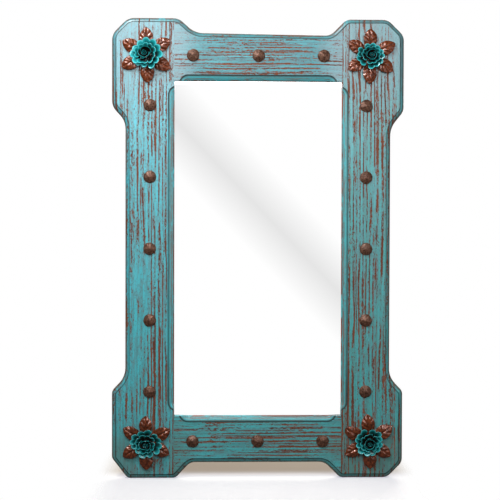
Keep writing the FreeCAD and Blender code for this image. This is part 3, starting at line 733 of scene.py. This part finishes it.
def sunk_screw():
    """A countersunk screw with the top of its head at Z = 0."""
    head = primitive(bpy.ops.mesh.primitive_cone_add, vertices=48, radius1=PANEL_SHANK.radius * MM,
                     radius2=SCREW_HEAD * MM, depth=SINK_DEPTH * MM,
                     location=(0.0, 0.0, -SINK_DEPTH / 2 * MM))
    bpy.ops.object.transform_apply(location=True)
    return screw(head, -SINK_DEPTH, PANEL_SHANK)


def round_screw():
    """A round-headed screw with the top of its head at Z = 0."""
    head = primitive(bpy.ops.mesh.primitive_cylinder_add, vertices=48, radius=SCREW_HEAD * MM,
                     depth=CROWN_HEIGHT * 2 * MM, location=(0.0, 0.0, -CROWN_HEIGHT * MM))
    bpy.ops.object.transform_apply(location=True)
    apply_modifier(head, "BEVEL", width=CROWN_ROUND * MM, segments=4)
    bisect(head, (0.0, 0.0, -CROWN_HEIGHT * MM), (0.0, 0.0, -1.0))
    return screw(head, -CROWN_HEIGHT, HANGER_SHANK)


def panel_places(low, high):
    """Ten places round the panel, from the corners of the screws' box: three along each side, two
    along each end."""
    side = high.x - SCREW_HEAD * MM
    end = high.z - SCREW_HEAD * MM
    places = []
    for sign in (-1, 1):
        places += [(sign * side, PANEL_SIDE_STEP * MM * step) for step in (-1, 0, 1)]
        places += [(PANEL_END_PLACE * MM * step, sign * end) for step in (-1, 1)]
    return places


def hanger_places(low, high):
    """Two places, one above the other, from the corners of the screws' box."""
    middle = (low.x + high.x) / 2
    return [(middle, low.z + SCREW_HEAD * MM), (middle, high.z - SCREW_HEAD * MM)]


def make_screws():
    chance = random.Random(17)
    for node, pattern, places in (("panel_screws", sunk_screw, panel_places),
                                  ("left_hanger_screws", round_screw, hanger_places),
                                  ("right_hanger_screws", round_screw, hanger_places)):
        low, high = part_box(node)
        first = pattern()
        screws = []
        for x, z in places(low, high):
            stand = Matrix.Translation((x, high.y, z)) @ turn_about("X", -90.0)
            screws.append(copy_of(first, stand @ turn_about("Z", chance.uniform(0.0, 90.0))))
        discard(first)
        dressed(joined(screws), node, STEEL)


def leaf(chance):
    """An ovate leaf along X, pressed from sheet, with a midrib, side veins and a bent edge."""
    phase = chance.uniform(0.0, 6.28)
    curl = chance.uniform(-1.0, 1.0)

    def shape(across, along):
        beyond = along > LEAF_FULLEST
        fullest = (along - LEAF_FULLEST) / ((1 - LEAF_FULLEST) if beyond else LEAF_FULLEST)
        curve = LEAF_TIP_CURVE if beyond else LEAF_ROOT_CURVE
        width = max(LEAF_STALK, (1 - fullest * fullest) ** curve)
        tooth = LEAF_TOOTH * abs(math.sin(math.pi * along * LEAF_VEINS * 2))
        side = across * LEAF_WIDTH / 2 * width * (1 - tooth)
        rise = smooth_step(0.05, 0.67, along) - 0.37 * smooth_step(0.67, 1.05, along)
        droop = LEAF_DROOP * abs(across) ** 1.5 * width
        vein = abs(math.sin(math.pi * (along * LEAF_VEINS * 1.2 - abs(across) * 1.1)))
        swell = LEAF_SWELL * vein ** 0.7 * smooth_step(0.02, 0.25, abs(across)) * width
        crease = LEAF_CREASE * math.exp(-(side / 1.2) ** 2) * width
        wave = LEAF_WAVE * abs(across) * math.sin(phase + 5.0 * along + 1.5 * across) * width
        height = LEAF_RISE * rise - droop + swell - crease + wave + curl * across * along
        return LEAF_ROOT + (LEAF_TIP - LEAF_ROOT) * along, side, max(0.5, height)

    return metal_sheet(20, 30, LEAF_SHEET, 1.0, shape)


def leaf_spray(chance, lean):
    pieces = []
    for index in range(LEAF_COUNT):
        turn = LEAF_TURN + 360.0 / LEAF_COUNT * index + chance.uniform(-4.0, 4.0)
        size = chance.uniform(0.95, 1.02)
        pieces.append(move(leaf(chance), turn_about("Z", turn) @ Matrix.Scale(size, 4)))
    pieces.append(disc(SPRAY_HUB, LEAF_SHEET, 0.0))
    pieces.append(move(disc(POST_RADIUS, POST_HEIGHT, 0.0), lean))
    return joined(pieces)


def lobed(across, whorl):
    """The reach of a petal's outline on its fan: round lobes side by side."""
    half = math.radians(whorl.fan) / whorl.lobes
    share = ((across + 1) / 2 * whorl.lobes) % 1.0 - 0.5
    angle = share * 2 * half
    round_size = whorl.fullness * math.sin(half)
    reach = math.cos(angle) + math.sqrt(round_size ** 2 - math.sin(angle) ** 2)
    return reach / (1 + round_size), share * 2


def petal(whorl, tone, chance):
    """One cupped petal along X, on its ball, with a rolled rim."""
    wave = chance.uniform(-0.5, 0.5)
    phase = chance.uniform(0.0, 6.28)
    length = math.radians(whorl.sweep) * whorl.ball * chance.uniform(0.88, 1.06)
    start = math.radians(whorl.start + chance.uniform(-5.0, 5.0))
    twist = whorl.twist * chance.uniform(0.4, 1.8)

    def shape(across, along):
        outline, share = lobed(across, whorl)
        reach = along * length * outline
        angle = across * math.radians(whorl.fan)
        onward = start + reach * math.cos(angle) / whorl.ball
        side = reach * math.sin(angle)
        sideways = side / whorl.ball
        rolled = whorl.lip * smooth_step(RIM_FROM, 1.0, along)
        lift = whorl.cup * along ** 3 * share * share - rolled
        lift += twist * side + wave * along * math.sin(phase + 3.0 * across)
        radius = whorl.ball - lift
        return (whorl.reach + radius * math.sin(onward) * math.cos(sideways),
                radius * math.sin(sideways),
                whorl.level + whorl.ball - radius * math.cos(onward) * math.cos(sideways))

    return metal_sheet(24, 16, PETAL_SHEET, whorl.tone * tone, shape)


def petal_whorl(whorl, tone, chance):
    pieces = []
    for index in range(whorl.petals):
        turn = 360.0 / whorl.petals * (index + chance.uniform(-0.15, 0.15))
        pieces.append(move(petal(whorl, tone, chance), turn_about("Z", turn)))
    pieces.append(disc(whorl.hub, HUB_SHEET, whorl.level - HUB_SHEET + HUB_LAP))
    return joined(pieces)


def rolled_bud():
    """A strip rolled up from the rose's axis, its upper edge bent outwards."""

    def shape(across, along):
        turn = (across + 1) / 2 * BUD_TURNS
        radius = BUD_CORE + BUD_PITCH * turn + BUD_FLARE * along ** 2 * turn / BUD_TURNS
        angle = turn * math.tau
        height = BUD_HEIGHT * along * (1 - 0.05 * math.sin(3.0 * angle) - 0.1 * turn / BUD_TURNS)
        return radius * math.cos(angle), radius * math.sin(angle), BUD_LEVEL + height

    return metal_sheet(72, 8, BUD_SHEET, BUD_TONE, shape)


def make_rose(rose, seed):
    chance = random.Random(seed)
    leaves = rose.name + "_rose_leaves"
    low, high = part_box(leaves)
    place = on_face((low.x + high.x) / 2, (low.z + high.z) / 2)
    towards = math.radians(rose.lean_towards)
    pivot = Matrix.Translation((0.0, 0.0, POST_HEIGHT * MM))
    axis = Vector((-math.sin(towards), math.cos(towards), 0.0))

    def bent(share):
        lean = Matrix.Rotation(math.radians(rose.lean * share), 4, axis)
        size = Matrix.Diagonal((rose.wide, rose.tall, (rose.wide + rose.tall) / 2, 1.0))
        return pivot @ lean @ size @ pivot.inverted()

    spray = move(leaf_spray(chance, bent(1.0)), place)
    dressed(spray, leaves, COPPER)
    for whorl in WHORLS:
        turned = place @ bent(whorl.bend) @ turn_about("Z", rose.turn + whorl.turn)
        petals = move(petal_whorl(whorl, rose.tone, chance), turned)
        dressed(petals, rose.name + "_rose_" + whorl.name, TEAL)
    bud = move(rolled_bud(), place @ bent(WHORLS[-1].bend) @ turn_about("Z", rose.turn))
    dressed(bud, rose.name + "_rose_bud", TEAL)


dress_cad_nodes()
make_nails()
make_screws()
for number, one_rose in enumerate(ROSES):
    make_rose(one_rose, number)


# Stage

def add_camera():
    camera = bpy.data.objects.new("camera", bpy.data.cameras.new("camera"))
    bpy.context.scene.collection.objects.link(camera)
    camera.data.lens = CAMERA_LENS
    camera.data.sensor_width = CAMERA_SENSOR
    yaw = math.radians(CAMERA_YAW)
    pitch = math.radians(CAMERA_PITCH)
    forward = Vector((math.sin(yaw) * math.cos(pitch),
                      math.cos(yaw) * math.cos(pitch),
                      math.sin(pitch)))
    level = forward.to_track_quat("-Z", "Y").to_matrix().to_4x4()
    camera.matrix_world = Matrix.Translation(CAMERA_PLACE) @ level @ turn_about("Z", CAMERA_ROLL)
    bpy.context.scene.camera = camera


def add_softbox(box):
    lamp = bpy.data.lights.new(box.name, "AREA")
    lamp.shape = "RECTANGLE"
    lamp.size = box.width
    lamp.size_y = box.height
    lamp.energy = box.power
    lamp.color = KEY_COLOUR
    holder = bpy.data.objects.new(box.name, lamp)
    bpy.context.scene.collection.objects.link(holder)
    holder.location = box.place
    ray = Vector(box.aim) - Vector(box.place)
    holder.rotation_mode = "QUATERNION"
    holder.rotation_quaternion = ray.to_track_quat("-Z", "Y")


def add_room():
    """White for the camera, a white screen for the glass, dimmer for other glossy surfaces."""
    world = bpy.data.worlds.new("studio")
    bpy.context.scene.world = world
    tree = Tree(world)
    x, y, z = tree.parts(tree.node("TexCoord", output="Generated"))
    ahead = (y * -1.0).larger(0.01)
    turn = math.radians(FOLD_TURN)
    from_fold = abs((x * math.cos(turn) + z * math.sin(turn)) / ahead - FOLD_OFFSET)
    fold = (1.0 - from_fold / FOLD_WIDTH).larger(0.0) * FOLD_DEPTH

    def ray(name):
        return tree.node("LightPath", output=name)

    def backdrop(colour, strength):
        return tree.node("Background", values={"Color": colour, "Strength": strength})

    def mix(factor, first, second):
        return tree.node("MixShader", values={0: factor, 1: first, 2: second})

    white = (1.0, 1.0, 1.0, 1.0)
    light = backdrop(ROOM_COLOUR, ROOM_LIGHT)
    screen = mix(fold, backdrop(white, 1.0), backdrop(white, 0.0))
    reflected = mix(ray("Is Singular Ray"), backdrop(white, DIM_ROOM), screen)
    seen = ray("Is Camera Ray").larger(ray("Is Transmission Ray"))
    mixed = mix(seen, mix(ray("Is Glossy Ray"), light, reflected), backdrop(white, 1.0))
    tree.node("OutputWorld", values={"Surface": mixed})


def add_floor():
    """A strip of white paper that keeps the shadow and gives the mirror no light."""
    floor = primitive(bpy.ops.mesh.primitive_plane_add, size=FLOOR_SIZE,
                      location=(0.0, 0.0, cad_box[0].z))
    floor.name = "floor"
    material, tree = finish("floor_paper")
    x, y = tree.parts(tree.node("TexCoord", output="Object"))[:2]
    strip = abs(x).rise(*PAPER_SIDE) * y.rise(*PAPER_FRONT) * y.rise(*PAPER_BACK)
    glow = y.rise(*SHADE_FROM).blend(FRONT_GLOW, SHADE_GLOW)
    paper = tree.node("BsdfPrincipled", values={
        "Base Color": PAPER_COLOUR, "Roughness": 0.9, "Specular IOR Level": 0.0,
        "Emission Color": glow, "Emission Strength": 1.0})
    clear = tree.node("BsdfTransparent")
    seen = tree.node("LightPath", output="Is Camera Ray") * strip
    mixed = tree.node("MixShader", values={0: seen, 1: clear, 2: paper})
    tree.node("OutputMaterial", values={"Surface": mixed})
    floor.data.materials.append(material)


add_camera()
for softbox in SOFTBOXES:
    add_softbox(softbox)
add_room()
add_floor()
bpy.context.scene.view_settings.view_transform = "Standard"
